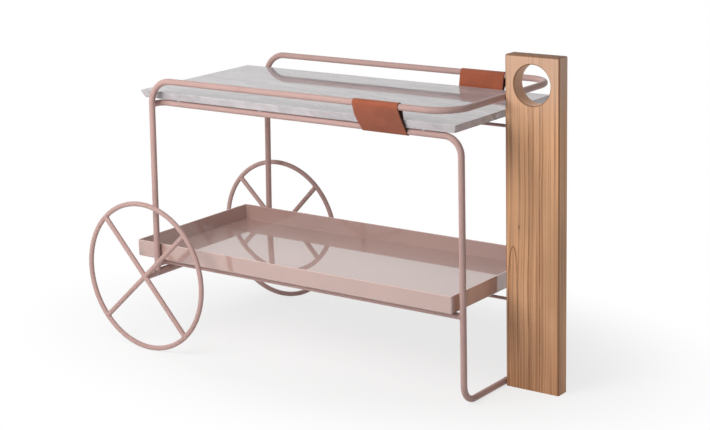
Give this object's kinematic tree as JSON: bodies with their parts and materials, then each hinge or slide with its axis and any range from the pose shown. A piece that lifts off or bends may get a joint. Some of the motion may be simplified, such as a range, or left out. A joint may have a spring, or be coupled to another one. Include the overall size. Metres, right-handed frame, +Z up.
{
  "type": "cheese trolley",
  "caption": "Serving trolley: bent-tube frame carrying a stone slab above a shallow tray, large spoked ring wheels at one end, an upright wooden plank with a hand hole at the other.",
  "frame": {"origin": "on the floor, under the middle of the whole trolley's bounding box", "axes": "+X from the wheels to the plank, +Y to the far side, +Z up"},
  "size_m": [1.288, 0.58, 0.819],
  "materials": {
    "frame_coat": "satin pale rose powder coat",
    "wheel_coat": "satin pale rose powder coat",
    "tray_lacquer": "glossy pale rose lacquer",
    "slab_marble": "polished, with grey veins along its length",
    "plank_wood": "fine straight grain under clear oil",
    "sleeve_leather": "smooth vegetable-tanned, bare cut edges",
    "turned_steel": "turned, bare",
    "bush_nylon": "natural nylon",
    "insert_brass": "machined, bare",
    "pad_rubber": "soft clear bumper"
  },
  "bodies": {
    "frame": {"upper_loop": "frame_coat", "lower_loop": "frame_coat", "tray_rail_near": "frame_coat", "tray_rail_far": "frame_coat", "axle_beam": "frame_coat", "spindle_near": "turned_steel", "spindle_far": "turned_steel", "shelf_cross_rod": "frame_coat", "tray_cross_rod": "frame_coat", "shelf_tie_rod": "frame_coat", "tray_tie_rod": "frame_coat", "plank_inserts": "insert_brass", "plank_screws": "frame_coat", "handle_plank": "plank_wood", "slab_pads": "pad_rubber", "tray_pads": "pad_rubber", "marble_slab": "slab_marble", "tray": "tray_lacquer", "leather_sleeve_near": "sleeve_leather", "leather_sleeve_far": "sleeve_leather"},
    "wheel_near": {"wheel_ring_near": "wheel_coat", "wheel_spoke_long_near": "wheel_coat", "wheel_spoke_halves_near": "wheel_coat", "wheel_hub_near": "wheel_coat", "wheel_bushes_near": "bush_nylon", "wheel_retainer_near": "turned_steel"},
    "wheel_far": {"wheel_ring_far": "wheel_coat", "wheel_spoke_long_far": "wheel_coat", "wheel_spoke_halves_far": "wheel_coat", "wheel_hub_far": "wheel_coat", "wheel_bushes_far": "bush_nylon", "wheel_retainer_far": "turned_steel"}
  },
  "joints": [
    {"name": "wheel_near_spin", "type": "hinge", "parent": "frame", "child": "wheel_near", "pos_m": [-0.443, -0.2835, 0.201], "axis": [0, 1, 0], "continuous": true},
    {"name": "wheel_far_spin", "type": "hinge", "parent": "frame", "child": "wheel_far", "pos_m": [-0.443, 0.2835, 0.201], "axis": [0, 1, 0], "continuous": true}
  ]
}
